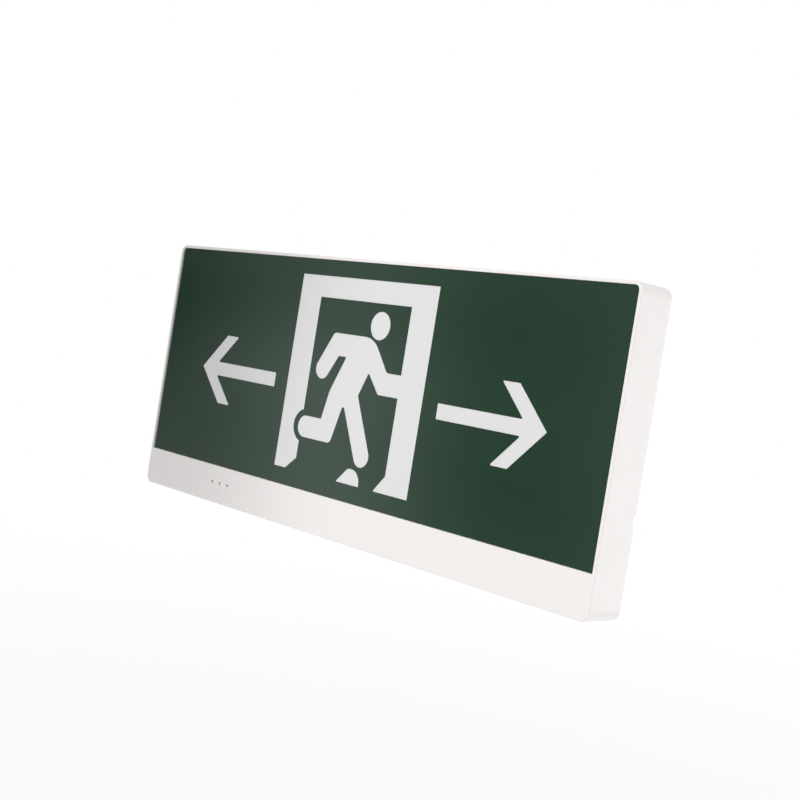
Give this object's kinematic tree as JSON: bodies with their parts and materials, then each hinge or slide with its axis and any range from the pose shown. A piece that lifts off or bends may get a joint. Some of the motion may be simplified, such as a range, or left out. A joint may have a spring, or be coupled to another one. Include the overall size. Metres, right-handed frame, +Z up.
{
  "type": "emergency exit light",
  "caption": "Slim wall-mounted emergency exit light: white housing, green panel with a running figure in a doorway between two arrows, indicator lamps and a test button underneath.",
  "frame": {"origin": "centre of the back, on the face that meets the wall", "axes": "+X along the sign to the right as it is read, +Y out of the back into the wall, so the sign faces -Y, +Z up"},
  "size_m": [0.36, 0.023, 0.153],
  "materials": {
    "white_housing": "satin moulded ABS",
    "opal_acrylic": "polished",
    "legend_green": "gloss vinyl",
    "diffuser_film": "matt",
    "clear_acrylic": "polished acrylic",
    "reflector_film": "satin",
    "zinc_steel": "zinc plated",
    "screw_steel": "zinc plated",
    "strip_aluminium": "white lacquered",
    "lamp_phosphor": "satin",
    "circuit_board": "satin lacquer",
    "ferrite": "matt",
    "winding_tape": "satin tape",
    "capacitor_sleeve": "gloss sleeve over aluminium",
    "film_case": "satin",
    "fuse_glass": "clear",
    "nickel": "nickel plated",
    "clip_brass": "bright",
    "chip_epoxy": "matt",
    "copper_winding": "enamelled copper",
    "natural_nylon": "satin",
    "battery_sleeve": "gloss sleeve over steel cells",
    "grey_polyamide": "satin",
    "grommet_rubber": "matt",
    "switch_black": "satin",
    "indicator_lens": "gloss",
    "button_grey": "satin",
    "lead_sleeve": "satin"
  },
  "bodies": {
    "housing": {"backing_plate": "zinc_steel", "backing_screws": "screw_steel", "battery_lead": "lead_sleeve", "battery_pack": "battery_sleeve", "board_connectors": "natural_nylon", "board_screws": "screw_steel", "cable_grommet": "grommet_rubber", "control_board": "circuit_board", "diffuser_sheet": "diffuser_film", "driver_chips": "chip_epoxy", "drum_choke": "copper_winding", "electrolytic_capacitors": "capacitor_sleeve", "face_panel": "opal_acrylic", "film_capacitor": "film_case", "front_cover": "white_housing", "fuse_caps": "nickel", "fuse_clips": "clip_brass", "fuse_tube": "fuse_glass", "indicator_board": "circuit_board", "indicator_lamps": "indicator_lens", "indicator_lead": "lead_sleeve", "indicator_screws": "screw_steel", "lamp_lead": "lead_sleeve", "lamp_strip": "strip_aluminium", "lead_plugs": "natural_nylon", "legend_film": "legend_green", "light_guide": "clear_acrylic", "light_pipe": "clear_acrylic", "rear_base": "white_housing", "rectifier_bridge": "chip_epoxy", "reflector_sheet": "reflector_film", "strip_lamps": "lamp_phosphor", "terminal_block": "grey_polyamide", "terminal_fixing_screws": "screw_steel", "terminal_screws": "nickel", "test_switch": "switch_black", "transformer_coil": "winding_tape", "transformer_core": "ferrite"},
    "test_button": {"test_button": "button_grey", "switch_plunger": "switch_black"}
  },
  "joints": [
    {"name": "test_press", "type": "slide", "parent": "housing", "child": "test_button", "axis": [0, 0, 1], "range_m": [0, 0.001], "stiffness_N_per_m": 1200}
  ]
}
